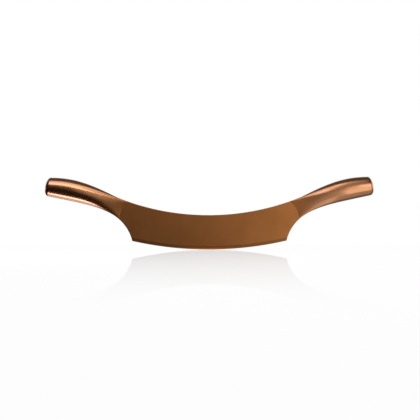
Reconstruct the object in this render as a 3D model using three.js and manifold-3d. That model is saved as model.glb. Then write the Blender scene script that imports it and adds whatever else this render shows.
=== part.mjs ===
// A two-handled chocolate chopper: a flat blade with a rocking edge, held between two hollow steel handles.
//
// Millimetres, +Z up. X runs along the blade, Y goes through its thickness, and the front is -Y.
// The origin is the lowest point of the cutting edge, in the blade's middle plane.
// Each handle is a pair of pressed half shells that clasp the blade's tang and meet in the plane Y = 0.
// The butt is closed by a domed cap, and a cast fill beds the tang, which two cross pins anchor.
// The left handle is the right one turned half a turn about Z.

import * as THREE from "three";
import { mergeVertices } from "three/addons/utils/BufferGeometryUtils.js";
import Module from "manifold-3d";

// Blade
const EDGE_CHORD = 168.5; // between the two heel corners
const EDGE_RADIUS = 378; // rocking curve of the cutting edge
const SPINE_CHORD = 200.4; // between the two neck tops
const SPINE_RADIUS = 268; // hollow curve of the spine
const BLADE_DEPTH = 37.6; // from the edge to the spine, at the middle
const BLADE_THICKNESS = 2.2;
const BEVEL_HEIGHT = 3.6; // ground bevel above the cutting edge
const EDGE_LAND = 0.3; // thickness left at the cutting edge

// Handle, measured along its centre line from the neck, where the blade becomes the tang
const NECK_ANGLE = 26.9; // degrees that the handle rises at the neck
const BEND_RADIUS = 196; // the handle levels out along this arc
const NECK_HEIGHT = 18.8;
const BELLY_HEIGHT = 23.3;
const BUTT_HEIGHT = 20.9;
const BELLY_AT = 50; // from the neck to the fullest section
const BUTT_AT = 72.6; // from the neck to the end of the shells
const BUTT_RAKE = 5; // degrees that the butt leans in at the top
const BELLY_WIDTH = 18.6;
const BUTT_WIDTH = 17.8;
const NECK_SQUARENESS = 8; // power of the superellipse where the handle is a slab
const BELLY_SQUARENESS = 2; // and where it is an oval
const NECK_ROUNDING = 6; // power by which the slab gives way to the oval
const NECK_FLARE = 1.2; // how fast the handle widens at its front edge, against the mean up to the belly

// Half shells
const SHELL_WALL = 1.2;
const LAP_LENGTH = 10; // the shells lap over the blade's faces in front of the neck
const LAP_THICKNESS = 0.35; // each shell at the front edge of the lap
const LAP_BOW = 3; // the lap's front edge is hollow by this much
const HOLLOW_AT = 14; // from the neck to the start of the hollow
const SEAT_GAP = 0.3; // between pieces that seat on each other

// Tang, its pins and the fill that beds it
const TANG_LENGTH = 42;
const TANG_HEIGHT = 11;
const TANG_ROOT = 5; // the tang's solid starts this far inside the blade
const PIN_RADIUS = 1.5;
const PIN_CLEARANCE = 0.1; // radial, in the tang's holes
const PIN_INSET = 6; // from the tang's tip to the outer pin
const PIN_PITCH = 8;
const PIN_COVER = 1; // of fill, beyond each end of a pin
const FILL_PAST_TANG = 6;

// Butt cap
const CAP_LENGTH = 5.6; // dome
const CAP_ROUNDNESS = 2.2; // power of the dome's profile
const SPIGOT_LENGTH = 4; // goes into the shells
const SPIGOT_LEAD = 0.5; // the spigot narrows by this much all round towards its end

// Facets
const EDGE_STEP = 4; // along the blade's long curves
const SCOOP_STEP = 2; // round the heel scoops
const RING_POINTS = 28; // round a handle section
const LAP_STEPS = 4;
const GRIP_STEPS = 16;
const DOME_STEPS = 6;
const TANG_STEPS = 10;
const PIN_SIDES = 24;

// Copper-coloured coated steel, bright steel and resin
const bladeSteel = new THREE.MeshStandardMaterial({ color: 0x8c5a30, roughness: 0.42, metalness: 1 });
const handleSteel = new THREE.MeshStandardMaterial({ color: 0xb47846, roughness: 0.3, metalness: 1 });
const pinSteel = new THREE.MeshStandardMaterial({ color: 0xa8a8a6, roughness: 0.35, metalness: 1 });
const castResin = new THREE.MeshStandardMaterial({ color: 0x55504a, roughness: 0.8, metalness: 0 });

const wasm = await Module();
wasm.setup();

// Solids

/** A closed geometry as a solid that can be joined and cut. */
function solidOf(geometry) {
  const bare = geometry.clone();
  bare.deleteAttribute("normal");
  bare.deleteAttribute("uv");
  const merged = mergeVertices(bare);
  const mesh = new wasm.Mesh({
    numProp: 3,
    vertProperties: merged.attributes.position.array,
    triVerts: new Uint32Array(merged.index.array),
  });
  return new wasm.Manifold(mesh);
}

/** A solid as a named mesh. */
function meshOf(name, solid, material) {
  const { vertProperties, triVerts } = solid.getMesh();
  const geometry = new THREE.BufferGeometry();
  geometry.setAttribute("position", new THREE.BufferAttribute(vertProperties, 3));
  geometry.setIndex(new THREE.BufferAttribute(triVerts, 1));
  geometry.computeVertexNormals();
  const mesh = new THREE.Mesh(geometry, material);
  mesh.name = name;
  return mesh;
}

/** A solid through rings of equally many points, where point i lies opposite point (count - i). */
function loft(rings) {
  const count = rings[0].length;
  const half = count / 2;
  const index = [];
  for (let r = 0; r + 1 < rings.length; r++) {
    for (let i = 0; i < count; i++) {
      const a = r * count + i;
      const b = r * count + ((i + 1) % count);
      index.push(a, b, a + count, b, b + count, a + count);
    }
  }
  const last = (rings.length - 1) * count;
  for (let i = 0; i < half; i++) {
    const opposite = (count - i) % count;
    const next = [i + 1, count - i - 1];
    if (i > 0) index.push(i, opposite, next[0], last + i, last + next[0], last + opposite);
    if (i + 1 < half) index.push(next[0], opposite, next[1], last + next[0], last + next[1], last + opposite);
  }
  const geometry = new THREE.BufferGeometry().setFromPoints(rings.flat());
  geometry.setIndex(index);
  return solidOf(geometry);
}

/** A ring through points of the X-Z plane from the top down, each with half the thickness there, -Y side first. */
function slabRing(points, halves) {
  const at = (i, side) => new THREE.Vector3(points[i].x, side * halves[i], points[i].y);
  const order = points.map((_, i) => i);
  const last = order.length - 1;
  const front = order.map((i) => at(i, -1));
  const back = order.map((i) => at(i, 1)).reverse();
  return [at(0, 0), ...front, at(last, 0), ...back];
}

/** A round bar along Y at a point of the X-Z plane. */
function crossBar(point, radius, length, sides) {
  return solidOf(new THREE.CylinderGeometry(radius, radius, length, sides)).translate([point.x, 0, point.y]);
}

// Lines in the blade's middle plane, where a Vector2 holds X and Z

const { degToRad, lerp, smoothstep } = THREE.MathUtils;
const direction = (angle) => new THREE.Vector2(Math.cos(angle), Math.sin(angle));
const moved = (point, along, distance) => point.clone().addScaledVector(along, distance);

const neckAngle = degToRad(NECK_ANGLE);
const alongNeck = direction(neckAngle);
const upNeck = direction(neckAngle + Math.PI / 2);

const edgeCentre = new THREE.Vector2(0, EDGE_RADIUS);
const spineCentre = new THREE.Vector2(0, BLADE_DEPTH + SPINE_RADIUS);
const below = (centre, radius, x) => new THREE.Vector2(x, centre.y - Math.sqrt(radius ** 2 - x ** 2));
const onEdge = (x) => below(edgeCentre, EDGE_RADIUS, x);
const onSpine = (x) => below(spineCentre, SPINE_RADIUS, x);
const heel = onEdge(EDGE_CHORD / 2);
const neckTop = onSpine(SPINE_CHORD / 2);
const neckMiddle = moved(neckTop, upNeck, -NECK_HEIGHT / 2);
const neckBottom = moved(neckTop, upNeck, -NECK_HEIGHT);
const bendCentre = moved(neckMiddle, upNeck, -BEND_RADIUS);

// The scoop runs from the heel corner to the neck, and leaves the neck in line with the handle.
const heelFromNeck = heel.clone().sub(neckBottom);
const scoopRadius = heelFromNeck.lengthSq() / (-2 * heelFromNeck.dot(upNeck));
const scoopCentre = moved(neckBottom, upNeck, -scoopRadius);

/** How far a line from a point goes before it enters a circle, and before it leaves it. */
function crossings(point, way, centre, radius) {
  const toCentre = centre.clone().sub(point);
  const abeam = toCentre.dot(way);
  const halfChord = Math.sqrt(radius ** 2 - toCentre.lengthSq() + abeam ** 2);
  return { enters: abeam - halfChord, leaves: abeam + halfChord };
}

// Drawn on, the line of the neck meets the cutting edge's arc here, below the scoop.
const downNeck = upNeck.clone().negate();
const neckFoot = moved(neckTop, downNeck, crossings(neckTop, downNeck, edgeCentre, EDGE_RADIUS).leaves);

/** The handle's height across its centre line, beyond the neck. */
function height(s) {
  if (s < BELLY_AT) return lerp(NECK_HEIGHT, BELLY_HEIGHT, smoothstep(s, 0, BELLY_AT));
  return lerp(BELLY_HEIGHT, BUTT_HEIGHT, ((s - BELLY_AT) / (BUTT_AT - BELLY_AT)) ** 2);
}

/** Up, square to the centre line, which is straight before the neck and bent after it. */
const centreLineUp = (s) => direction(neckAngle + Math.PI / 2 - Math.max(s, 0) / BEND_RADIUS);

/** A point of the centre line. */
const centreAt = (s) =>
  s > 0 ? moved(bendCentre, centreLineUp(s), BEND_RADIUS) : moved(neckMiddle, alongNeck, s);

/** Up in the plane of the handle's section, which is square to the centre line at the neck and raked at the butt. */
const sectionUp = (s) =>
  centreLineUp(s).rotateAround(new THREE.Vector2(), (degToRad(BUTT_RAKE) * Math.max(s, 0)) / BUTT_AT);

/** A point in the handle's middle plane, where share runs from -1 on its lower edge to 1 on its upper edge. */
function midPlane(s, share, inset) {
  const centre = centreAt(s);
  const up = sectionUp(s);
  let extent = height(Math.max(s, 0)) / 2;
  if (s < 0) {
    const rail = share > 0
      ? crossings(centre, up, spineCentre, SPINE_RADIUS)
      : crossings(centre, downNeck, scoopCentre, scoopRadius);
    extent = rail.enters;
  }
  return moved(centre, up, share * (extent - inset));
}

/** 0 at the front edge of the lap, 1 from the belly on. */
const wayToBelly = (s) => Math.min((s + LAP_LENGTH) / (BELLY_AT + LAP_LENGTH), 1);
const squareness = (s) => lerp(BELLY_SQUARENESS, NECK_SQUARENESS, (1 - wayToBelly(s)) ** NECK_ROUNDING);

/** The share of the belly's width, a cubic that starts with the neck's flare and levels out at the belly. */
function fullness(s) {
  const way = wayToBelly(s);
  return way * (NECK_FLARE + way * (3 - 2 * NECK_FLARE + way * (NECK_FLARE - 2)));
}

/** Half of the handle's width, from the blade's face to the outside of the shell. */
function halfWidth(s) {
  if (s < BELLY_AT) return lerp(BLADE_THICKNESS / 2 + LAP_THICKNESS, BELLY_WIDTH / 2, fullness(s));
  return lerp(BELLY_WIDTH, BUTT_WIDTH, ((s - BELLY_AT) / (BUTT_AT - BELLY_AT)) ** 2) / 2;
}

/** The lap's front edge is hollow, and the sections behind it straighten out by the neck. */
const bow = (s) => LAP_BOW * (1 - smoothstep(s, -LAP_LENGTH, 0));

/** One section of the handle as a ring from its upper edge round by -Y, drawn in all round by inset. */
function section(s, inset = 0) {
  const ring = [];
  const power = squareness(s);
  for (let i = 0; i < RING_POINTS; i++) {
    const turn = (2 * Math.PI * i) / RING_POINTS;
    const share = Math.cos(turn);
    const point = midPlane(s - bow(s) * share ** 2, share, inset);
    const depth = Math.max(1 - Math.abs(share) ** power, 0) ** (1 / power);
    ring.push(new THREE.Vector3(point.x, -Math.sign(Math.sin(turn)) * depth * (halfWidth(s) - inset), point.y));
  }
  return ring;
}

/** The same ring with everything behind Y = 0 laid flat on that plane. */
const frontHalf = (ring) => ring.map((p) => new THREE.Vector3(p.x, Math.min(p.y, 0), p.z));

/** Evenly spaced places along the handle. */
const places = (from, to, steps) => Array.from({ length: steps + 1 }, (_, i) => lerp(from, to, i / steps));

/** A flat bar along the handle's centre line, in the blade's plane. */
function slab(stations, halfHeight, thickness) {
  const rings = stations.map((s) => {
    const ends = [halfHeight, -halfHeight].map((n) => moved(centreAt(s), centreLineUp(s), n));
    return slabRing(ends, [thickness / 2, thickness / 2]);
  });
  return loft(rings);
}

/** The tang from a place on the centre line to its tip, grown all round by a gap but for its faces. */
const tangSlab = (from, gap, thickness) =>
  slab(places(from, TANG_LENGTH + gap, TANG_STEPS), TANG_HEIGHT / 2 + gap, thickness);

// Both pins are as long as the fill allows at the inner one, where the handle is narrower.
const outerPinAt = TANG_LENGTH - PIN_INSET;
const innerPinAt = outerPinAt - PIN_PITCH;
const pinPoints = { inner: centreAt(innerPinAt), outer: centreAt(outerPinAt) };
const pinLength = 2 * (halfWidth(innerPinAt) - SHELL_WALL - SEAT_GAP - PIN_COVER);

// Blade

/** The ground blade's section at a share of its length, from -1 at the left neck to 1 at the right one. */
function bladeSection(share) {
  const top = onSpine(share * neckTop.x);
  const foot = onEdge(share * neckFoot.x);
  const shoulder = moved(foot, top.clone().sub(foot).normalize(), BEVEL_HEIGHT);
  return slabRing([top, shoulder, foot], [BLADE_THICKNESS / 2, BLADE_THICKNESS / 2, EDGE_LAND / 2]);
}

function makeBlade() {
  const columns = 2 * Math.ceil(SPINE_CHORD / EDGE_STEP / 2);
  const scoopSides = Math.ceil((2 * Math.PI * scoopRadius) / SCOOP_STEP);
  const through = 2 * BLADE_THICKNESS;
  const scoop = crossBar(scoopCentre, scoopRadius, through, scoopSides);
  let tang = tangSlab(-TANG_ROOT, 0, BLADE_THICKNESS);
  for (const point of Object.values(pinPoints)) {
    tang = tang.subtract(crossBar(point, PIN_RADIUS + PIN_CLEARANCE, through, PIN_SIDES));
  }
  let blade = loft(places(-1, 1, columns).map(bladeSection));
  blade = blade.subtract(scoop).subtract(scoop.mirror([1, 0, 0]));
  blade = blade.add(tang).add(tang.mirror([1, 0, 0]));
  return meshOf("blade", blade, bladeSteel);
}

// Handle

/** The space for the blade's end and its tang between the two shells. */
function bladePocket() {
  const front = -(LAP_LENGTH + 2 * LAP_BOW);
  const end = slab([front, SEAT_GAP], NECK_HEIGHT, BLADE_THICKNESS);
  return end.add(tangSlab(0, SEAT_GAP, BLADE_THICKNESS));
}

/** The front half shell: an outer skin, hollowed behind the neck, that clasps the blade and the tang. */
function frontShell() {
  const stations = [...places(-LAP_LENGTH, 0, LAP_STEPS).slice(0, -1), ...places(0, BUTT_AT, GRIP_STEPS)];
  const outside = loft(stations.map((s) => frontHalf(section(s))));
  const pastButt = BUTT_AT + SHELL_WALL;
  const hollow = loft(places(HOLLOW_AT, pastButt, GRIP_STEPS).map((s) => section(s, SHELL_WALL)));
  return outside.subtract(hollow).subtract(bladePocket());
}

/** The domed cap, with a spigot that goes into the shells. */
function buttCap() {
  const up = sectionUp(BUTT_AT);
  const out = up.clone().rotateAround(new THREE.Vector2(), -Math.PI / 2);
  const centre = centreAt(BUTT_AT);
  const shifted = (ring, distance, scale) => ring.map((p) => {
    const flat = new THREE.Vector2(p.x, p.z).sub(centre).multiplyScalar(scale).add(centre);
    const place = moved(flat, out, distance);
    return new THREE.Vector3(place.x, p.y * scale, place.y);
  });
  const rim = section(BUTT_AT);
  const inside = SHELL_WALL + SEAT_GAP;
  const rings = [
    shifted(section(BUTT_AT, inside + SPIGOT_LEAD), -SPIGOT_LENGTH, 1),
    shifted(section(BUTT_AT, inside), SEAT_GAP, 1),
  ];
  for (let i = 0; i < DOME_STEPS; i++) {
    const rise = Math.sin((i / DOME_STEPS) * (Math.PI / 2));
    const scale = (1 - rise ** CAP_ROUNDNESS) ** (1 / CAP_ROUNDNESS);
    rings.push(shifted(rim, SEAT_GAP + rise * (CAP_LENGTH - SEAT_GAP), scale));
  }
  return loft(rings);
}

/** The cast fill that beds the tang and its pins in the hollow. */
function handleFill() {
  const inset = SHELL_WALL + SEAT_GAP;
  const from = HOLLOW_AT + SEAT_GAP;
  const body = loft(places(from, TANG_LENGTH + FILL_PAST_TANG, TANG_STEPS).map((s) => section(s, inset)));
  let fill = body.subtract(tangSlab(0, SEAT_GAP, BLADE_THICKNESS + 2 * SEAT_GAP));
  for (const point of Object.values(pinPoints)) {
    fill = fill.subtract(crossBar(point, PIN_RADIUS + SEAT_GAP, pinLength + 2 * SEAT_GAP, PIN_SIDES));
  }
  return fill;
}

/** A handle's pieces, placed as on the right. Turned to the left, its front shell becomes the back one. */
function makeHandle(side, front, back) {
  const shell = frontShell();
  const handle = new THREE.Group();
  handle.add(meshOf(`${side}_handle_${front}_shell`, shell, handleSteel));
  handle.add(meshOf(`${side}_handle_${back}_shell`, shell.mirror([0, 1, 0]), handleSteel));
  handle.add(meshOf(`${side}_butt_cap`, buttCap(), handleSteel));
  handle.add(meshOf(`${side}_handle_fill`, handleFill(), castResin));
  for (const [place, point] of Object.entries(pinPoints)) {
    const pin = crossBar(point, PIN_RADIUS, pinLength, PIN_SIDES);
    handle.add(meshOf(`${side}_tang_pin_${place}`, pin, pinSteel));
  }
  return handle;
}

// Assembly

const rightHandle = makeHandle("right", "front", "back");
const leftHandle = makeHandle("left", "back", "front");
leftHandle.rotation.z = Math.PI;

const chopper = new THREE.Group();
chopper.add(makeBlade(), rightHandle, leftHandle);

export default chopper;
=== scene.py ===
# %% [markdown]
# # A two-handled chocolate chopper
#
# This chopper is one flat blade between two hollow grips, all of it steel with a copper-coloured coating.
# A cook takes a grip in each hand and rocks the curved edge over a slab of chocolate.
# The CAD model fixes every size and place. This lesson dresses it with finer meshes, metal finishes and a small studio.

# %% Load the model
import math

import bmesh
import bpy
from mathutils import Matrix, Vector


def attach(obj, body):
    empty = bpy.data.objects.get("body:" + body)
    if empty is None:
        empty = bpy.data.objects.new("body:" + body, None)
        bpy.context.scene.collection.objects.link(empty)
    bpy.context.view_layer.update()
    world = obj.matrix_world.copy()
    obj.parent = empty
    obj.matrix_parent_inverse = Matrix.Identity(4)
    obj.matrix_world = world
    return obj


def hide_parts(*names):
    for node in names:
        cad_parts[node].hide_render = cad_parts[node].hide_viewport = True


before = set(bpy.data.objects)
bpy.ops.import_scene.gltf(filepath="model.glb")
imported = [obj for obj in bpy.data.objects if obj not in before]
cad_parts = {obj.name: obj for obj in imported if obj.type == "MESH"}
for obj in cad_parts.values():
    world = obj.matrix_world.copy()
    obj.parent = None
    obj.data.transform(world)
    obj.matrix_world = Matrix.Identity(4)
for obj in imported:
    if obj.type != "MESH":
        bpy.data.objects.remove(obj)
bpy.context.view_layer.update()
print("nodes:", ", ".join(sorted(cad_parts)))

# %% [markdown]
# ## The camera
#
# The knife is seen square from the front, from the height of its middle, so nothing of its top or underside shows.
# A long lens from further off would flatten it in the same way, but at 1.5 m the grips still keep a little depth.
# One pixel of the picture is 1.093 mm at the blade, and that fixes the focal length.

# %% Place the camera
MM = 0.001
PICTURE_SIZE = 420  # pixels
PIXEL = 1.093 * MM  # at the blade
MIDDLE_PIXEL, FOOT_PIXEL = 209.3, 249.5  # where the foot of the blade lies in the picture
CAMERA_DISTANCE = 1.5
CAMERA_ROLL = math.radians(0.17)

camera_data = bpy.data.cameras.new("camera")
camera_data.sensor_width = 36
camera_data.lens = camera_data.sensor_width * CAMERA_DISTANCE / (PICTURE_SIZE * PIXEL)
camera = bpy.data.objects.new("camera", camera_data)
camera.location = (
    (PICTURE_SIZE / 2 - MIDDLE_PIXEL) * PIXEL,
    -CAMERA_DISTANCE,
    (FOOT_PIXEL - PICTURE_SIZE / 2) * PIXEL,
)
camera.rotation_euler = (math.pi / 2, CAMERA_ROLL, 0)
bpy.context.collection.objects.link(camera)
bpy.context.scene.camera = camera
print(f"lens {camera_data.lens:.1f} mm, {camera.location.z:.4f} m up")

# %% [markdown]
# ## The lines of the blade
#
# The outline is four arcs: the rocking edge, the hollow spine, and a scoop at each heel that leads up to the neck.
# Drawing them from their radii, as a cutter's drawing does, keeps them true arcs at any fineness.
# A two-part vector holds X and Z, because the whole outline lies in the blade's middle plane.

# %% Draw the outline
EDGE_CHORD, EDGE_RADIUS = 168.5 * MM, 378 * MM
SPINE_CHORD, SPINE_RADIUS = 200.4 * MM, 268 * MM
BLADE_DEPTH = 37.6 * MM
NECK_HEIGHT = 18.8 * MM
NECK_ANGLE = math.radians(26.9)


def direction(angle):
    return Vector((math.cos(angle), math.sin(angle)))


def on_arc(x, lowest, radius):
    return Vector((x, lowest + radius - math.sqrt(radius**2 - x**2)))


along_neck = direction(NECK_ANGLE)
up_neck = direction(NECK_ANGLE + math.pi / 2)
heel = on_arc(EDGE_CHORD / 2, 0, EDGE_RADIUS)
neck_top = on_arc(SPINE_CHORD / 2, BLADE_DEPTH, SPINE_RADIUS)
neck_bottom = neck_top - up_neck * NECK_HEIGHT
neck_middle = neck_top - up_neck * NECK_HEIGHT / 2

heel_from_neck = heel - neck_bottom
scoop_radius = heel_from_neck.length_squared / (-2 * heel_from_neck.dot(up_neck))
scoop_centre = neck_bottom - up_neck * scoop_radius
print(f"scoop radius {scoop_radius / MM:.1f} mm, heel {heel / MM}, neck {neck_top / MM}")

# %% [markdown]
# ## The blade's end, measured from the heel
#
# A mesh of the blade needs rows that run from end to end without crossing, from the cutting edge up to the spine.
# Each row starts and stops on the blade's end outline, so that outline is measured first:
# round the scoop from the heel, and then straight up the neck.

# %% Measure the end and lay the rows
BEVEL_HEIGHT = 3.6 * MM  # ground bevel above the cutting edge
TANG_HEIGHT = 11 * MM
SCOOP_ROWS = 14

heel_from_scoop = heel - scoop_centre
heel_turn = math.atan2(heel_from_scoop.y, heel_from_scoop.x)
scoop_length = scoop_radius * (heel_turn - NECK_ANGLE - math.pi / 2)
end_length = scoop_length + NECK_HEIGHT
edge_inwards = (Vector((0, EDGE_RADIUS)) - heel).normalized()
bevel_length = BEVEL_HEIGHT / edge_inwards.dot(direction(heel_turn - math.pi / 2))

rows = [0]
rows += [bevel_length + (scoop_length - bevel_length) * i / SCOOP_ROWS for i in range(SCOOP_ROWS + 1)]
rows += [scoop_length + (NECK_HEIGHT - TANG_HEIGHT) / 2, scoop_length + (NECK_HEIGHT + TANG_HEIGHT) / 2, end_length]


def blade_end(distance):
    if distance <= scoop_length:
        return scoop_centre + direction(heel_turn - distance / scoop_radius) * scoop_radius
    return neck_bottom + up_neck * (distance - scoop_length)


def blade_point(share, distance):
    end = blade_end(distance)
    above_bevel = max(distance - bevel_length, 0) / (end_length - bevel_length)
    lowest = min(distance / bevel_length, 1) * BEVEL_HEIGHT + above_bevel * (BLADE_DEPTH - BEVEL_HEIGHT)
    rise = end.y - lowest
    return on_arc(share * end.x, lowest, (end.x**2 + rise**2) / (2 * rise))


print(f"{len(rows)} rows along an end of {end_length / MM:.1f} mm, bevel {bevel_length / MM:.2f} mm at the heel")

# %% [markdown]
# ## The blade
#
# The real blade is cut from 2.2 mm sheet and ground on both faces, with a bevel down to a thin cutting edge.
# A flat outline could be filled and thickened, but one huge face shades badly and can't carry the bevel.
# So a grid is bent to the rows, mirrored for the back, and the two borders are bridged into a closed plate.

# %% Bend a grid into the plate
BLADE_THICKNESS = 2.2 * MM
EDGE_LAND = 0.3 * MM
BLADE_COLUMNS = 96

plate = bmesh.new()
bmesh.ops.create_grid(plate, x_segments=BLADE_COLUMNS, y_segments=len(rows) - 1, size=1)
for vert in plate.verts:
    share = vert.co.x
    row = round((vert.co.y + 1) / 2 * (len(rows) - 1))
    place = blade_point(share, rows[row])
    vert.co = (place.x, -(BLADE_THICKNESS if row else EDGE_LAND) / 2, place.y)
bmesh.ops.mirror(plate, geom=plate.verts[:] + plate.edges[:] + plate.faces[:], axis="Y", merge_dist=-1)
outline = [e for e in plate.edges if e.is_boundary]
bmesh.ops.bridge_loops(plate, edges=outline)
bmesh.ops.recalc_face_normals(plate, faces=plate.faces)
print(f"plate: {len(plate.faces)} faces, {sum(not e.is_manifold for e in plate.edges)} open edges")

# %% [markdown]
# ## The tangs
#
# Behind each neck the plate runs on into the grip as a narrower tang, with two holes for its cross pins.
# The grip is bent, so the tang follows the same bend: a spin about the bend's centre carries the neck's end face round.
# The steps of the spin are as long as the pins are apart, so that each hole falls in the middle of a face.
# A bridge from a square to a small ring may twist, so a flat fill joins the two, and a bridge makes the bore.

# %% Spin the tangs and open their pin holes
BEND_RADIUS = 196 * MM
TANG_LENGTH = 42 * MM
PIN_INSET, PIN_PITCH = 6 * MM, 8 * MM
PIN_HOLE_RADIUS, PIN_HOLE_SIDES = 1.6 * MM, 16

bend_centre = neck_middle - up_neck * BEND_RADIUS


def standing(point, y=0):
    return Vector((point.x, y, point.y))


def open_pin_hole(mesh, place):
    sides = sorted(mesh.faces, key=lambda f: (f.calc_center_median() - place).length)[:2]
    frames = [list(f.edges) for f in sides]
    heights = [f.calc_center_median().y for f in sides]
    bmesh.ops.delete(mesh, geom=sides, context="FACES_ONLY")
    rings = []
    for border, y in zip(frames, heights):
        turned = Matrix.Translation((place.x, y, place.z)) @ Matrix.Rotation(math.pi / 2, 4, "X")
        ring = bmesh.ops.create_circle(mesh, segments=PIN_HOLE_SIDES, radius=PIN_HOLE_RADIUS, matrix=turned)["verts"]
        rings.append(list({e for v in ring for e in v.link_edges}))
        bmesh.ops.triangle_fill(mesh, use_beauty=True, edges=border + rings[-1])
    bmesh.ops.bridge_loops(mesh, edges=rings[0] + rings[1])


for side in (1, -1):
    neck = standing(neck_middle) * Vector((side, 1, 1))
    centre = standing(bend_centre) * Vector((side, 1, 1))
    swept = [min(plate.faces, key=lambda f: (f.calc_center_median() - neck).length)]
    long_steps = round((TANG_LENGTH - PIN_INSET) / PIN_PITCH + 0.5)
    for length, steps in ((long_steps * PIN_PITCH, long_steps), (TANG_LENGTH - long_steps * PIN_PITCH, 1)):
        turn = side * length / BEND_RADIUS
        last = bmesh.ops.spin(plate, geom=swept, cent=centre, axis=(0, 1, 0), angle=turn, steps=steps)["geom_last"]
        bmesh.ops.delete(plate, geom=swept, context="FACES_ONLY")
        swept = [g for g in last if isinstance(g, bmesh.types.BMFace)]
    for along in (TANG_LENGTH - PIN_INSET, TANG_LENGTH - PIN_INSET - PIN_PITCH):
        hole = bend_centre + direction(NECK_ANGLE + math.pi / 2 - along / BEND_RADIUS) * BEND_RADIUS
        open_pin_hole(plate, standing(hole) * Vector((side, 1, 1)))
print(f"with tangs: {len(plate.faces)} faces, {sum(not e.is_manifold for e in plate.edges)} open edges")

# %% [markdown]
# ## The blade's arrises
#
# A sheared and ground plate isn't left sharp along its spine and scoops:
# the arris is broken so that it doesn't cut the hand.
# The tiny round catches the light as a fine line. A bevel of less than half a millimetre gives it.
# Only the rounds are shaded smooth. The broad faces stay flat, or their light would bend near the outline.

# %% Break the arrises and add the blade
ARRIS, ARRIS_STEPS = 0.45 * MM, 3
SHARP_CORNER = math.radians(60)
NEAR = 0.1 * MM


def add_piece(name, mesh, slot, *nodes):
    data = bpy.data.meshes.new(name)
    mesh.to_mesh(data)
    mesh.free()
    piece = bpy.data.objects.new(name, data)
    bpy.context.collection.objects.link(piece)
    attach(piece, "root")
    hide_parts(*nodes)
    print(f"{name}: {len(data.vertices)} points, {len(data.polygons)} faces")
    return piece


def is_arris(edge):
    if not edge.is_manifold or edge.calc_face_angle() < SHARP_CORNER:
        return False
    middle = (edge.verts[0].co + edge.verts[1].co) / 2
    beyond_neck = (Vector((abs(middle.x), middle.z)) - neck_middle).dot(along_neck) > -NEAR
    on_cutting_edge = abs(middle.y) < BLADE_THICKNESS / 2 - NEAR
    return not beyond_neck and not on_cutting_edge


rounds = bmesh.ops.bevel(
    plate,
    geom=[e for e in plate.edges if is_arris(e)],
    offset=ARRIS,
    affect="EDGES",
    segments=ARRIS_STEPS,
    profile=0.5,
    material=-1,
)["faces"]
for face in rounds:
    face.smooth = True
bmesh.ops.recalc_face_normals(plate, faces=plate.faces)
print(f"rounded: {len(rounds)} faces, {sum(not e.is_manifold for e in plate.edges)} open edges")
blade = add_piece("blade_plate", plate, "blade_steel", "blade")

# %% [markdown]
# ## The shape of a grip
#
# The grip grows out of the blade: a slab at the neck, an oval at the belly, and a bent centre line all the way.
# A superellipse does both with one power, high for the slab and near two for the oval.
# So the grip is a set of laws along its centre line, from the front edge of the lap on the blade to the butt.

# %% Write the laws of the grip
BELLY_HEIGHT, BUTT_HEIGHT = 23.3 * MM, 20.9 * MM
BELLY_WIDTH, BUTT_WIDTH = 18.6 * MM, 17.8 * MM
BELLY_AT, BUTT_AT = 50 * MM, 72.6 * MM
BUTT_RAKE = math.radians(5)
NECK_SQUARENESS, BELLY_SQUARENESS = 8, 2
LAP_LENGTH, LAP_BOW = 10 * MM, 3 * MM
NECK_FLARE = 1.2  # how fast the grip widens at its front edge, against the mean
NECK_ROUNDING = 6  # power by which the slab gives way to the oval
LAP_EDGE = 0.05 * MM  # thickness left at the front edge of the lap


def between(a, b, share):
    return a + (b - a) * share


def ease(value, low, high):
    share = min(max((value - low) / (high - low), 0), 1)
    return share * share * (3 - 2 * share)


def past_belly(s):
    return (max(s - BELLY_AT, 0) / (BUTT_AT - BELLY_AT)) ** 2


def grip_height(s):
    return between(between(NECK_HEIGHT, BELLY_HEIGHT, ease(s, 0, BELLY_AT)), BUTT_HEIGHT, past_belly(s))


def way_to_belly(s):
    return min((s + LAP_LENGTH) / (BELLY_AT + LAP_LENGTH), 1)


def fullness(s):
    way = way_to_belly(s)
    return way * (NECK_FLARE + way * (3 - 2 * NECK_FLARE + way * (NECK_FLARE - 2)))


def half_width(s):
    grown = between(BLADE_THICKNESS / 2 + LAP_EDGE, BELLY_WIDTH / 2, fullness(s))
    return between(grown, BUTT_WIDTH / 2, past_belly(s))


def squareness(s):
    return between(BELLY_SQUARENESS, NECK_SQUARENESS, (1 - way_to_belly(s)) ** NECK_ROUNDING)


def lap_bow(s):
    return LAP_BOW * (1 - ease(s, -LAP_LENGTH, 0))


print(f"belly {2 * half_width(BELLY_AT) / MM:.1f} wide, {grip_height(BELLY_AT) / MM:.1f} high")

# %% [markdown]
# ## A point on the grip
#
# Behind the neck a section is measured up and down from the bent centre line, and leans a little towards the butt.
# In front of the neck the grip is only a skin on the blade,
# so its upper edge keeps to the spine and its lower edge to the scoop.
# The same function draws the section in by a wall thickness, for the inside.

# %% Place a point of a section


def crossing(point, way, centre, radius):
    to_centre = centre - point
    abeam = to_centre.dot(way)
    return abeam - math.sqrt(radius**2 - to_centre.length_squared + abeam**2)


def centre_at(s):
    if s > 0:
        return bend_centre + direction(NECK_ANGLE + math.pi / 2 - s / BEND_RADIUS) * BEND_RADIUS
    return neck_middle + along_neck * s


def section_up(s):
    bent = max(s, 0)
    return direction(NECK_ANGLE + math.pi / 2 - bent / BEND_RADIUS + BUTT_RAKE * bent / BUTT_AT)


def in_middle_plane(s, share, inset=0):
    centre, up = centre_at(s), section_up(s)
    if s >= 0:
        reach = grip_height(s) / 2
    elif share > 0:
        reach = crossing(centre, up, Vector((0, BLADE_DEPTH + SPINE_RADIUS)), SPINE_RADIUS)
    else:
        reach = crossing(centre, -up, scoop_centre, scoop_radius)
    return centre + up * share * (reach - inset)


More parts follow.
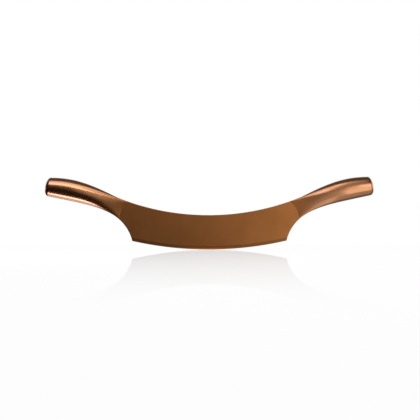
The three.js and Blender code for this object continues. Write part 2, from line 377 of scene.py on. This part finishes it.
def section_point(s, turn, inset=0):
    power = 2 / squareness(s)
    share = math.copysign(abs(math.cos(turn)) ** power, math.cos(turn))
    depth = max(math.sin(turn), 0) ** power * (half_width(s) - inset)
    return standing(in_middle_plane(s - lap_bow(s) * share**2, share, inset), -depth)


print("belly, front:", section_point(BELLY_AT, math.pi / 2) / MM)

# %% [markdown]
# ## The half shells
#
# Each grip is two shells pressed from thin sheet, front and back, welded round the tang and ground flush.
# A lofted tube cut in two would give the outside alone. Here one grid follows the outside and a second the inside,
# and a bridge round their borders makes the wall, so a shell is closed and has its real thickness.
# Two stations lie on the blade's end, for the step inside. Where they agree outside, their doubles are merged.

# %% Build a shell on the right, at the front
SHELL_WALL = 1.2 * MM
SEAT_GAP = 0.3 * MM  # round the tang and the cap's spigot
THINNEST_LAP = 0.02 * MM
HOLLOW_AT = 14 * MM
LAP_STATIONS, GRIP_STATIONS = 14, 84
SHELL_ROWS = 44
SAME_PLACE = 0.001 * MM
SHELL_CREASE = math.radians(50)

stations = [(-LAP_LENGTH + LAP_LENGTH * i / LAP_STATIONS, True) for i in range(LAP_STATIONS + 1)]
stations += [(BUTT_AT * i / GRIP_STATIONS, False) for i in range(GRIP_STATIONS + 1)]


def outside(s, on_blade, turn):
    point = section_point(s, turn)
    if on_blade:
        point.y = min(point.y, -BLADE_THICKNESS / 2 - THINNEST_LAP)
    return point


def inside(s, on_blade, turn):
    if s >= HOLLOW_AT:
        return section_point(s, turn, SHELL_WALL)
    point = section_point(s, turn, 0 if on_blade else SEAT_GAP)
    above = (Vector((point.x, point.z)) - centre_at(s)).dot(section_up(s))
    clasps = on_blade or abs(above) < TANG_HEIGHT / 2
    point.y = -BLADE_THICKNESS / 2 if clasps else 0
    return point


def bent_grid(mesh, place):
    last_column, last_row = len(stations) - 1, SHELL_ROWS
    grid = bmesh.ops.create_grid(mesh, x_segments=last_column, y_segments=last_row, size=1, calc_uvs=True)["verts"]
    for vert in grid:
        s, on_blade = stations[round((vert.co.x + 1) / 2 * last_column)]
        vert.co = place(s, on_blade, math.pi * (1 - vert.co.y) / 2)


def half_shell():
    mesh = bmesh.new()
    mesh.loops.layers.uv.new("along_grip")
    bent_grid(mesh, outside)
    bent_grid(mesh, inside)
    bmesh.ops.bridge_loops(mesh, edges=[e for e in mesh.edges if e.is_boundary])
    bmesh.ops.remove_doubles(mesh, verts=mesh.verts, dist=SAME_PLACE)
    bmesh.ops.recalc_face_normals(mesh, faces=mesh.faces)
    for face in mesh.faces:
        face.smooth = True
    for edge in mesh.edges:
        edge.smooth = edge.calc_face_angle(0) < SHELL_CREASE
    return mesh


shell = half_shell()
print(f"shell: {len(shell.faces)} faces, {sum(not e.is_manifold for e in shell.edges)} open edges")
shell.free()

# %% [markdown]
# ## The other three shells
#
# The back shell is the front one mirrored through the blade's plane,
# and the left grip is the right one turned half a turn.
# A mirror turns faces inside out, so the normals are worked out again. A half turn doesn't.

# %% Add the four shells
shells = []
for side, half, mirrored, turned in (
    ("right", "front", False, False),
    ("right", "back", True, False),
    ("left", "back", False, True),
    ("left", "front", True, True),
):
    shell = half_shell()
    if mirrored:
        bmesh.ops.scale(shell, vec=(1, -1, 1), verts=shell.verts)
        bmesh.ops.recalc_face_normals(shell, faces=shell.faces)
    if turned:
        bmesh.ops.rotate(shell, cent=(0, 0, 0), matrix=Matrix.Rotation(math.pi, 3, "Z"), verts=shell.verts)
    node = f"{side}_handle_{half}_shell"
    shells.append(add_piece(f"{side}_{half}_grip_shell", shell, "handle_steel", node))

# %% [markdown]
# ## The butt caps
#
# A pressed dome closes each butt, with a spigot inside the shells to hold it true while it is welded.
# A sphere can't fit the raked oval. Rings of the grip's last section, moved out and drawn in, follow it exactly,
# and a bridge joins each ring to the next. The weld is ground away, so only a hairline is left at the joint.
# A bridge can't tell which way a ring of a few square millimetres turns, so the rings are laid a thousand times larger.

# %% Build the caps from rings
CAP_LENGTH = 5.6 * MM
CAP_ROUNDNESS = 2.2
SPIGOT_LENGTH, SPIGOT_LEAD = 4 * MM, 0.5 * MM
CAP_GAP, CAP_ARRIS = 0.04 * MM, 0.1 * MM
CAP_SIDES, DOME_RINGS = 64, 18
CAP_CREASE = math.radians(40)

butt_centre = standing(centre_at(BUTT_AT))
butt_up = section_up(BUTT_AT)
butt_out = standing(Vector((butt_up.y, -butt_up.x)))


def cap_ring(mesh, distance, scale=1, inset=0):
    ring = bmesh.ops.create_circle(mesh, segments=CAP_SIDES, radius=1)["verts"]
    for vert in ring:
        turn = math.atan2(vert.co.x, vert.co.y)
        point = section_point(BUTT_AT, abs(turn), inset)
        point.y = math.copysign(point.y, turn)
        vert.co = (butt_centre + (point - butt_centre) * scale + butt_out * distance) / MM
    return list({e for v in ring for e in v.link_edges})


def butt_cap():
    mesh = bmesh.new()
    fit = SHELL_WALL + SEAT_GAP
    rings = [cap_ring(mesh, -SPIGOT_LENGTH, inset=fit + SPIGOT_LEAD), cap_ring(mesh, CAP_GAP, inset=fit)]
    rings.append(cap_ring(mesh, CAP_GAP, inset=CAP_ARRIS))
    for i in range(DOME_RINGS):
        rise = math.sin(math.pi / 2 * i / DOME_RINGS)
        scale = (1 - rise**CAP_ROUNDNESS) ** (1 / CAP_ROUNDNESS)
        start = CAP_GAP + CAP_ARRIS
        rings.append(cap_ring(mesh, start + rise * (CAP_LENGTH - start), scale))
    for inner, outer in zip(rings, rings[1:]):
        bmesh.ops.bridge_loops(mesh, edges=inner + outer)
    for end in (rings[0], rings[-1]):
        bmesh.ops.contextual_create(mesh, geom=end)
    bmesh.ops.scale(mesh, vec=(MM, MM, MM), verts=mesh.verts)
    bmesh.ops.recalc_face_normals(mesh, faces=mesh.faces)
    for face in mesh.faces:
        face.smooth = True
    for edge in mesh.edges:
        edge.smooth = edge.calc_face_angle(0) < CAP_CREASE
    return mesh


caps = []
for side in ("right", "left"):
    cap = butt_cap()
    print(f"cap: {sum(not e.is_manifold for e in cap.edges)} open edges")
    if side == "left":
        bmesh.ops.rotate(cap, cent=(0, 0, 0), matrix=Matrix.Rotation(math.pi, 3, "Z"), verts=cap.verts)
    caps.append(add_piece(f"{side}_domed_cap", cap, "handle_steel", f"{side}_butt_cap"))

# %% [markdown]
# ## The satin blade finish
#
# The blade is ground with a fine belt, up and down, and then coated,
# so it has a soft sheen with the faintest upright lines.
# A photograph of steel would fix the light in it. Noise stretched along Z makes the grinding lines instead,
# and a broader noise lets the coating's tone drift as it does on a real batch.

# %% Make the satin finish
SATIN_DARK, SATIN_LIGHT = (0.345, 0.126, 0.033), (0.392, 0.145, 0.04)
SATIN_COAT = 0.12


def new_finish(name):
    finish = bpy.data.materials.new(name)
    finish.use_nodes = True
    nodes, links = finish.node_tree.nodes, finish.node_tree.links
    return finish, nodes, links, nodes["Principled BSDF"]


def stretched_noise(nodes, links, source, scale, detail=3, roughness=0.55):
    mapping = nodes.new("ShaderNodeMapping")
    mapping.inputs["Scale"].default_value = scale
    links.new(source, mapping.inputs["Vector"])
    noise = nodes.new("ShaderNodeTexNoise")
    noise.inputs["Scale"].default_value = 1
    noise.inputs["Detail"].default_value = detail
    noise.inputs["Roughness"].default_value = roughness
    links.new(mapping.outputs["Vector"], noise.inputs["Vector"])
    return noise.outputs["Fac"]


def spread(nodes, links, fac, low, high, span=(0.3, 0.7)):
    ranged = nodes.new("ShaderNodeMapRange")
    ranged.inputs["From Min"].default_value, ranged.inputs["From Max"].default_value = span
    ranged.inputs["To Min"].default_value = low
    ranged.inputs["To Max"].default_value = high
    links.new(fac, ranged.inputs["Value"])
    return ranged.outputs["Result"]


def tone(nodes, links, fac, dark, light):
    ramp = nodes.new("ShaderNodeValToRGB")
    ramp.color_ramp.elements[0].position = 0.3
    ramp.color_ramp.elements[1].position = 0.7
    ramp.color_ramp.elements[0].color = (*dark, 1)
    ramp.color_ramp.elements[1].color = (*light, 1)
    links.new(fac, ramp.inputs["Fac"])
    return ramp.outputs["Color"]


def raised(nodes, links, fac, depth, strength):
    bump = nodes.new("ShaderNodeBump")
    bump.inputs["Strength"].default_value = strength
    bump.inputs["Distance"].default_value = depth
    links.new(fac, bump.inputs["Height"])
    return bump.outputs["Normal"]


satin, nodes, links, shader = new_finish("satin_copper_coat")
here = nodes.new("ShaderNodeTexCoord").outputs["Object"]
grinding = stretched_noise(nodes, links, here, (2600, 400, 70))
drift = stretched_noise(nodes, links, here, (38, 38, 38), detail=2)
links.new(tone(nodes, links, drift, SATIN_DARK, SATIN_LIGHT), shader.inputs["Base Color"])
links.new(spread(nodes, links, grinding, 0.34, 0.42), shader.inputs["Roughness"])
links.new(raised(nodes, links, grinding, 0.004 * MM, 0.35), shader.inputs["Normal"])
shader.inputs["Metallic"].default_value = 1
shader.inputs["Coat Weight"].default_value = SATIN_COAT
shader.inputs["Coat Roughness"].default_value = 0.35
blade.data.materials.append(satin)
print("satin finish on", blade.name)

# %% [markdown]
# ## The polished grip finish
#
# The grips are polished along their length after welding,
# so they shine more than the blade and show long soft highlights.
# The polishing follows the bend, so the pattern reads the shells' own map, which runs along and round the grip.
# A little unevenness in the polish keeps the highlights from looking drawn with a ruler.

# %% Make the polished finish
POLISHED_DARK, POLISHED_LIGHT = (0.47, 0.188, 0.063), (0.53, 0.212, 0.073)
SATIN_UP_TO, POLISHED_FROM = 0.088, 0.145  # metres from the middle of the knife

polish, nodes, links, shader = new_finish("polished_copper_coat")
along = nodes.new("ShaderNodeTexCoord").outputs["UV"]
here = nodes.new("ShaderNodeTexCoord").outputs["Object"]
wiping = stretched_noise(nodes, links, along, (6, 160, 1))
drift = stretched_noise(nodes, links, here, (45, 45, 45), detail=2)

apart = nodes.new("ShaderNodeSeparateXYZ")
links.new(here, apart.inputs["Vector"])
from_middle = nodes.new("ShaderNodeMath")
from_middle.operation = "ABSOLUTE"
links.new(apart.outputs["X"], from_middle.inputs[0])
buffed = nodes.new("ShaderNodeMapRange")
buffed.interpolation_type = "SMOOTHSTEP"
buffed.inputs["From Min"].default_value = SATIN_UP_TO
buffed.inputs["From Max"].default_value = POLISHED_FROM
links.new(from_middle.outputs["Value"], buffed.inputs["Value"])


def by_buffing(kind, satin_side, polished_side):
    mix = nodes.new("ShaderNodeMix")
    mix.data_type = kind
    links.new(buffed.outputs["Result"], mix.inputs["Factor"])
    sockets = [s for s in mix.inputs if s.type == ("RGBA" if kind == "RGBA" else "VALUE") and s.name in "AB"]
    links.new(satin_side, sockets[0])
    links.new(polished_side, sockets[1])
    return next(s for s in mix.outputs if s.type == sockets[0].type)


links.new(
    by_buffing(
        "RGBA",
        tone(nodes, links, drift, SATIN_DARK, SATIN_LIGHT),
        tone(nodes, links, drift, POLISHED_DARK, POLISHED_LIGHT),
    ),
    shader.inputs["Base Color"],
)
links.new(
    by_buffing("FLOAT", spread(nodes, links, wiping, 0.36, 0.42), spread(nodes, links, wiping, 0.22, 0.28)),
    shader.inputs["Roughness"],
)
links.new(raised(nodes, links, wiping, 0.003 * MM, 0.25), shader.inputs["Normal"])
shader.inputs["Metallic"].default_value = 1
links.new(spread(nodes, links, buffed.outputs["Result"], SATIN_COAT, 1, (0, 0.6)), shader.inputs["Coat Weight"])
shader.inputs["Coat Roughness"].default_value = 0.1
shader.inputs["Coat IOR"].default_value = 1.6
for piece in shells + caps:
    piece.data.materials.append(polish)
print("polished finish on", len(shells + caps), "pieces")

# %% [markdown]
# ## What is inside the grips
#
# The cast fill and the cross pins are sealed in the grips, so their CAD shapes are fine enough to keep.
# They still get real finishes, because a part in a library may be cut open:
# dull resin with sand in it, and drawn steel.

# %% Finish the fills and the pins
resin, nodes, links, shader = new_finish("sandy_cast_resin")
here = nodes.new("ShaderNodeTexCoord").outputs["Object"]
sand = stretched_noise(nodes, links, here, (1400, 1400, 1400), detail=4)
links.new(tone(nodes, links, sand, (0.075, 0.062, 0.05), (0.125, 0.108, 0.09)), shader.inputs["Base Color"])
links.new(spread(nodes, links, sand, 0.7, 0.9), shader.inputs["Roughness"])
links.new(raised(nodes, links, sand, 0.05 * MM, 0.5), shader.inputs["Normal"])

drawn, nodes, links, shader = new_finish("drawn_pin_steel")
here = nodes.new("ShaderNodeTexCoord").outputs["Object"]
draw_lines = stretched_noise(nodes, links, here, (4000, 90, 4000))
links.new(tone(nodes, links, draw_lines, (0.34, 0.34, 0.33), (0.46, 0.46, 0.45)), shader.inputs["Base Color"])
links.new(spread(nodes, links, draw_lines, 0.28, 0.42), shader.inputs["Roughness"])
links.new(raised(nodes, links, draw_lines, 0.004 * MM, 0.3), shader.inputs["Normal"])
shader.inputs["Metallic"].default_value = 1

for name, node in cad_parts.items():
    if name.endswith("_fill") or "_pin_" in name:
        node.material_slots[0].material = resin if name.endswith("_fill") else drawn
        print("finished", name)

# %% [markdown]
# ## The floor
#
# The knife stands on a pale, slightly glossy table that has no visible end.
# A floor that fades out a good way from the knife meets the white surroundings without a horizon line.
# It is most polished by the knife and duller towards the camera, so the mirror image pales as it goes down.
# A table mirrors most at a shallow angle, so the polish also falls off when it is seen from above,
# and past the knife's ends.

# %% Lay the floor
FLOOR_SIZE = 6
FLOOR_BELOW = 0.2 * MM
FLOOR_WHITE = 0.93
MOST_POLISH, POLISH_FROM_ABOVE = 0.3, 0.08
DULL_Y, POLISHED_Y = -0.95, 0.1
STEEP, SHALLOW = 0.66, 0.82  # one less the sine of the angle to the floor
MIRROR_FULL, MIRROR_GONE = 0.22, 0.4  # to each side of the middle
FADE_FROM, FADE_TO = 0.9, 2.4
BACK_FADE_FROM, BACK_FADE_TO = 0.03, 0.4


def card(name, size, matrix):
    mesh = bmesh.new()
    bmesh.ops.create_grid(mesh, x_segments=1, y_segments=1, size=0.5)
    bmesh.ops.scale(mesh, vec=(*size, 1), verts=mesh.verts)
    bmesh.ops.transform(mesh, matrix=matrix, verts=mesh.verts)
    data = bpy.data.meshes.new(name)
    mesh.to_mesh(data)
    mesh.free()
    piece = bpy.data.objects.new(name, data)
    bpy.context.collection.objects.link(piece)
    return piece


floor = card("floor", (FLOOR_SIZE, FLOOR_SIZE), Matrix.Translation((0, 0, -FLOOR_BELOW)))
table, nodes, links, shader = new_finish("pale_table")
nodes.remove(shader)
here = nodes.new("ShaderNodeTexCoord").outputs["Object"]
apart = nodes.new("ShaderNodeSeparateXYZ")
links.new(here, apart.inputs["Vector"])


def ramped(value, from_min, from_max, to_min, to_max):
    ranged = nodes.new("ShaderNodeMapRange")
    ranged.interpolation_type = "SMOOTHSTEP"
    for key, number in zip(("From Min", "From Max", "To Min", "To Max"), (from_min, from_max, to_min, to_max)):
        ranged.inputs[key].default_value = number
    links.new(value, ranged.inputs["Value"])
    return ranged.outputs["Result"]


def seen_by_eye(nodes, links, otherwise, level):
    rays = nodes.new("ShaderNodeLightPath")
    seen = rays.outputs["Is Camera Ray"]
    for ray in ("Is Glossy Ray", "Is Transmission Ray"):
        either = nodes.new("ShaderNodeMath")
        either.operation = "MAXIMUM"
        links.new(seen, either.inputs[0])
        links.new(rays.outputs[ray], either.inputs[1])
        seen = either.outputs["Value"]
    ranged = nodes.new("ShaderNodeMapRange")
    ranged.inputs["To Min"].default_value = otherwise
    ranged.inputs["To Max"].default_value = level
    links.new(seen, ranged.inputs["Value"])
    return ranged.outputs["Result"]


polished = ramped(apart.outputs["Y"], DULL_Y, POLISHED_Y, 0, MOST_POLISH)
facing = nodes.new("ShaderNodeLayerWeight").outputs["Facing"]
sideways = nodes.new("ShaderNodeMath")
sideways.operation = "ABSOLUTE"
links.new(apart.outputs["X"], sideways.inputs[0])
for share in (
    ramped(facing, STEEP, SHALLOW, POLISH_FROM_ABOVE, 1),
    ramped(sideways.outputs["Value"], MIRROR_FULL, MIRROR_GONE, 1, 0),
):
    product = nodes.new("ShaderNodeMath")
    product.operation = "MULTIPLY"
    links.new(polished, product.inputs[0])
    links.new(share, product.inputs[1])
    polished = product.outputs["Value"]
reach = nodes.new("ShaderNodeVectorMath")
reach.operation = "LENGTH"
links.new(here, reach.inputs[0])
faded = nodes.new("ShaderNodeMath")
faded.operation = "MAXIMUM"
links.new(ramped(reach.outputs["Value"], FADE_FROM, FADE_TO, 0, 1), faded.inputs[0])
links.new(ramped(apart.outputs["Y"], BACK_FADE_FROM, BACK_FADE_TO, 0, 1), faded.inputs[1])

dull = nodes.new("ShaderNodeBsdfDiffuse")
dull.inputs["Color"].default_value = (0.8, 0.8, 0.8, 1)
white = nodes.new("ShaderNodeEmission")
pale = nodes.new("ShaderNodeMixShader")
links.new(seen_by_eye(nodes, links, 0, FLOOR_WHITE), pale.inputs["Fac"])
links.new(dull.outputs["BSDF"], pale.inputs[1])
links.new(white.outputs["Emission"], pale.inputs[2])
gloss = nodes.new("ShaderNodeBsdfGlossy")
gloss.inputs["Color"].default_value = (1, 1, 1, 1)
gloss.inputs["Roughness"].default_value = 0.01
clear = nodes.new("ShaderNodeBsdfTransparent")
surface = nodes.new("ShaderNodeMixShader")
links.new(polished, surface.inputs["Fac"])
links.new(pale.outputs["Shader"], surface.inputs[1])
links.new(gloss.outputs["BSDF"], surface.inputs[2])
ending = nodes.new("ShaderNodeMixShader")
links.new(faded.outputs["Value"], ending.inputs["Fac"])
links.new(surface.outputs["Shader"], ending.inputs[1])
links.new(clear.outputs["BSDF"], ending.inputs[2])
links.new(ending.outputs["Shader"], nodes["Material Output"].inputs["Surface"])
floor.data.materials.append(table)
print("floor", FLOOR_SIZE, "m")

# %% [markdown]
# ## The surroundings
#
# The surroundings are plain white. The camera sees them at a strength of one, and so do shiny and clear surfaces.
# The light that they throw on matt surfaces is set apart, so that the pale table stays just below white.

# %% Light the surroundings
SKY_LIGHT = 0.85

world = bpy.data.worlds.new("white_surroundings")
bpy.context.scene.world = world
world.use_nodes = True
nodes, links = world.node_tree.nodes, world.node_tree.links
links.new(seen_by_eye(nodes, links, SKY_LIGHT, 1), nodes["Background"].inputs["Strength"])
nodes["Background"].inputs["Color"].default_value = (1, 1, 1, 1)
world.cycles.sampling_method = "NONE"
print("surroundings: 1 to the eye,", SKY_LIGHT, "on matt surfaces")

# %% [markdown]
# ## Softboxes
#
# Polished metal shows what stands round it, so a photographer lights a knife with soft boxes.
# A bright low box and a dimmer high one hang above the left grip and draw its upper highlight in two tones.
# Both are a little cool, as daylight is, so that the warm metal's highlight stays pale.
# A large one on the right lights the blade from that end and fills the right grip's side.

# %% Hang the softboxes
COOL_DAYLIGHT = (0.9, 1.0, 1.15)


def softbox(name, place, aim, size, radiance, colour=(1, 1, 1)):
    data = bpy.data.lights.new(name, "AREA")
    data.shape = "RECTANGLE"
    data.size, data.size_y = size
    data.energy = radiance * math.pi * size[0] * size[1]
    data.color = colour
    light = bpy.data.objects.new(name, data)
    light.location = place
    light.rotation_euler = (Vector(aim) - Vector(place)).to_track_quat("-Z", "Y").to_euler()
    bpy.context.collection.objects.link(light)
    print(f"{name}: {data.energy:.2f} W")


softbox("low_softbox", (-0.23, -0.35, 0.333), (-0.23, 0, 0.05), (0.34, 0.1425), 3.1, COOL_DAYLIGHT)
softbox("high_softbox", (-0.23, -0.235, 0.434), (-0.23, 0, 0.05), (0.34, 0.167), 1.7, COOL_DAYLIGHT)
softbox("right_softbox", (0.64, -0.72, 0.25), (0.07, 0, 0.05), (0.9, 0.5), 1.6)

# %% [markdown]
# ## Cards and flags
#
# Pale cards carry a highlight on, and dark ones, called flags, keep the rest of the metal deep.
# A lamp can't fade from one end to the other, but a card can, because a ramp along X gives it its shades.
# Every card only shows in reflections, so the camera never meets one, and it is clear from behind.
# Only the pale ones are worth aiming rays at, so the dim ones are left out of the light sampling.

# %% Make a card that fades
def flag(name, place, aim, size, *shades, tint=(1, 1, 1)):
    """Hang a card that only shows in reflections, with shades evenly spaced along its width."""
    facing = (Vector(aim) - Vector(place)).to_track_quat("Z", "Y").to_matrix().to_4x4()
    piece = card(name, size, Matrix.Translation(place) @ facing)
    card_glow, nodes, links, shader = new_finish(name)
    card_glow.cycles.emission_sampling = "FRONT" if max(shades) > 1 else "NONE"
    nodes.remove(shader)
    apart = nodes.new("ShaderNodeSeparateXYZ")
    links.new(nodes.new("ShaderNodeTexCoord").outputs["Object"], apart.inputs["Vector"])
    across = nodes.new("ShaderNodeMapRange")
    across.inputs["From Min"].default_value = place[0] - size[0] / 2
    across.inputs["From Max"].default_value = place[0] + size[0] / 2
    links.new(apart.outputs["X"], across.inputs["Value"])
    ramp = nodes.new("ShaderNodeValToRGB")
    stops = ramp.color_ramp.elements
    for i, shade in enumerate(shades):
        position = i / max(len(shades) - 1, 1)
        stop = stops[0] if i == 0 else stops[-1] if i == len(shades) - 1 else stops.new(position)
        stop.position, stop.color = position, (*(shade * part for part in tint), 1)
    if len(shades) == 1:
        stops.remove(stops[1])
    links.new(across.outputs["Result"], ramp.inputs["Fac"])
    # The card is not lit: it glows at its own shades, as a light that is seen only in reflections.
    glow = nodes.new("ShaderNodeEmission")
    links.new(ramp.outputs["Color"], glow.inputs["Color"])
    clear = nodes.new("ShaderNodeBsdfTransparent")
    geometry = nodes.new("ShaderNodeNewGeometry")
    one_sided = nodes.new("ShaderNodeMixShader")
    links.new(geometry.outputs["Backfacing"], one_sided.inputs["Fac"])
    links.new(glow.outputs["Emission"], one_sided.inputs[1])
    links.new(clear.outputs["BSDF"], one_sided.inputs[2])
    links.new(one_sided.outputs["Shader"], nodes["Material Output"].inputs["Surface"])
    piece.data.materials.append(card_glow)
    piece.visible_camera = piece.visible_diffuse = piece.visible_shadow = False
    piece.visible_transmission = piece.visible_volume_scatter = False
    print(f"{name}: {size[0]} by {size[1]} m")


# %% [markdown]
# ## The cards above
#
# The two boxes end near the middle, and a fading card carries each of them on to the right,
# where the right grip wants less light.
# A lip under the low box widens its highlight, and a near card does the same for the left neck alone:
# close to the knife, what one grip sees doesn't yet cross what the other sees.

# %% Hang the cards above
FADE_LOW = (4.0, 3.3, 1.9, 1.4, 1.0, 0.7, 0.6, 0.5, 0.5, 0.45, 0.45, 0.5, 0.5, 0.5, 0.5)
FADE_HIGH = (1.5, 1.6, 2.1, 2.1, 1.3, 0.8, 0.65, 0.6)

flag("low_fading_card", (0.08, -0.35, 0.333), (0.08, 0, 0.05), (0.28, 0.1425), *FADE_LOW)
flag("high_fading_card", (0.08, -0.235, 0.434), (0.08, 0, 0.05), (0.28, 0.167), *FADE_HIGH)
flag("low_lip_card", (-0.07, -0.404, 0.267), (-0.07, -0.054, -0.016), (0.14, 0.028), 3.0)
flag("left_neck_card", (-0.055, -0.2, 0.182), (-0.055, -0.008, 0.075), (0.11, 0.038), 3.3)

# %% [markdown]
# ## The flags round the knife
#
# Dim glowing flags above, on the left and in front paint the left grip's deep band as a dark reflection,
# and the front ones turn grey towards the right, where the grip is lit more evenly.

# %% Stand the flags
flag("ceiling_flag", (0, -1.3, 1.4), (0, -1.3, 0), (8, 5.4), 0.12)
flag("left_flag", (-2.2, -0.4, 0.8), (0, -0.4, 0.8), (4.0, 1.6), 0.03)
flag("front_left_flag", (-1.4, -0.6, 0.19), (-1.4, 0, 0.19), (2.0, 0.38), 0.03)
flag("front_low_flag", (-0.1, -0.6, 0.09), (-0.1, 0, 0.09), (0.6, 0.18), 0.02, 0.02, 0.04, 0.3, 0.48, 0.54, 0.85)
flag("front_high_flag", (-0.1, -0.6, 0.28), (-0.1, 0, 0.28), (0.6, 0.2), 0.1, 0.1, 0.1, 0.25, 0.4, 0.4, 0.5)

# %% [markdown]
# ## The flags and cards on the table
#
# The undersides of the grips and the face of the blade look down on the table, so its brightness is set there too.
# Flags darken what the blade sees on the left,
# and a narrow pale card under each grip draws the line along its underside.
# The left one is a cool white, which the warm metal turns to cream.


# %% Lay them on the table
COOL_WHITE = (0.95, 0.93, 1.3)
EDGE_SHADES = (0.13, 0.15, 0.19, 0.23, 0.26, 0.32, 0.42, 0.5, 0.52)


def table_flag(name, x, y, size, *shades, lift=0.5 * MM, tint=(1, 1, 1)):
    flag(name, (x, y, lift), (x, y, 1), size, *shades, tint=tint)


table_flag("grip_table_flag", -1.3, -1.22, (2.4, 2.4), 0.01)
table_flag("blade_table_flag", -0.02, -1.24, (0.16, 2.4), 0.02, 0.05, 0.14, 0.38, 0.54)
table_flag("right_table_flag", 0.11, -1.28, (0.1, 2.4), 0.6)
table_flag("edge_flag", 0, -0.021, (0.2, 0.038), *EDGE_SHADES)
table_flag("left_back_table_flag", -0.655, 0.48, (1.11, 1.0), 0.03)
table_flag("right_back_table_flag", 0.6, 0.5, (1.0, 1.0), 0.22)
table_flag("right_under_flag", 0.3, -0.0375, (0.3, 0.075), 0.6)
table_flag("left_grip_card", -0.174, -0.0205, (0.072, 0.017), 6.5, lift=MM, tint=COOL_WHITE)
table_flag("left_under_card", -0.174, 0.033, (0.072, 0.09), 1.2, lift=MM)
table_flag("right_grip_card", 0.125, -0.04, (0.05, 0.078), 1.15, lift=MM)
table_flag("right_butt_card", 0.304, -0.335, (0.272, 0.53), 1.75, lift=MM)

# %% [markdown]
# ## The colours
#
# The colours are shown as they are, with no film look.

# %% Show the colours as they are
bpy.context.scene.view_settings.view_transform = "Standard"
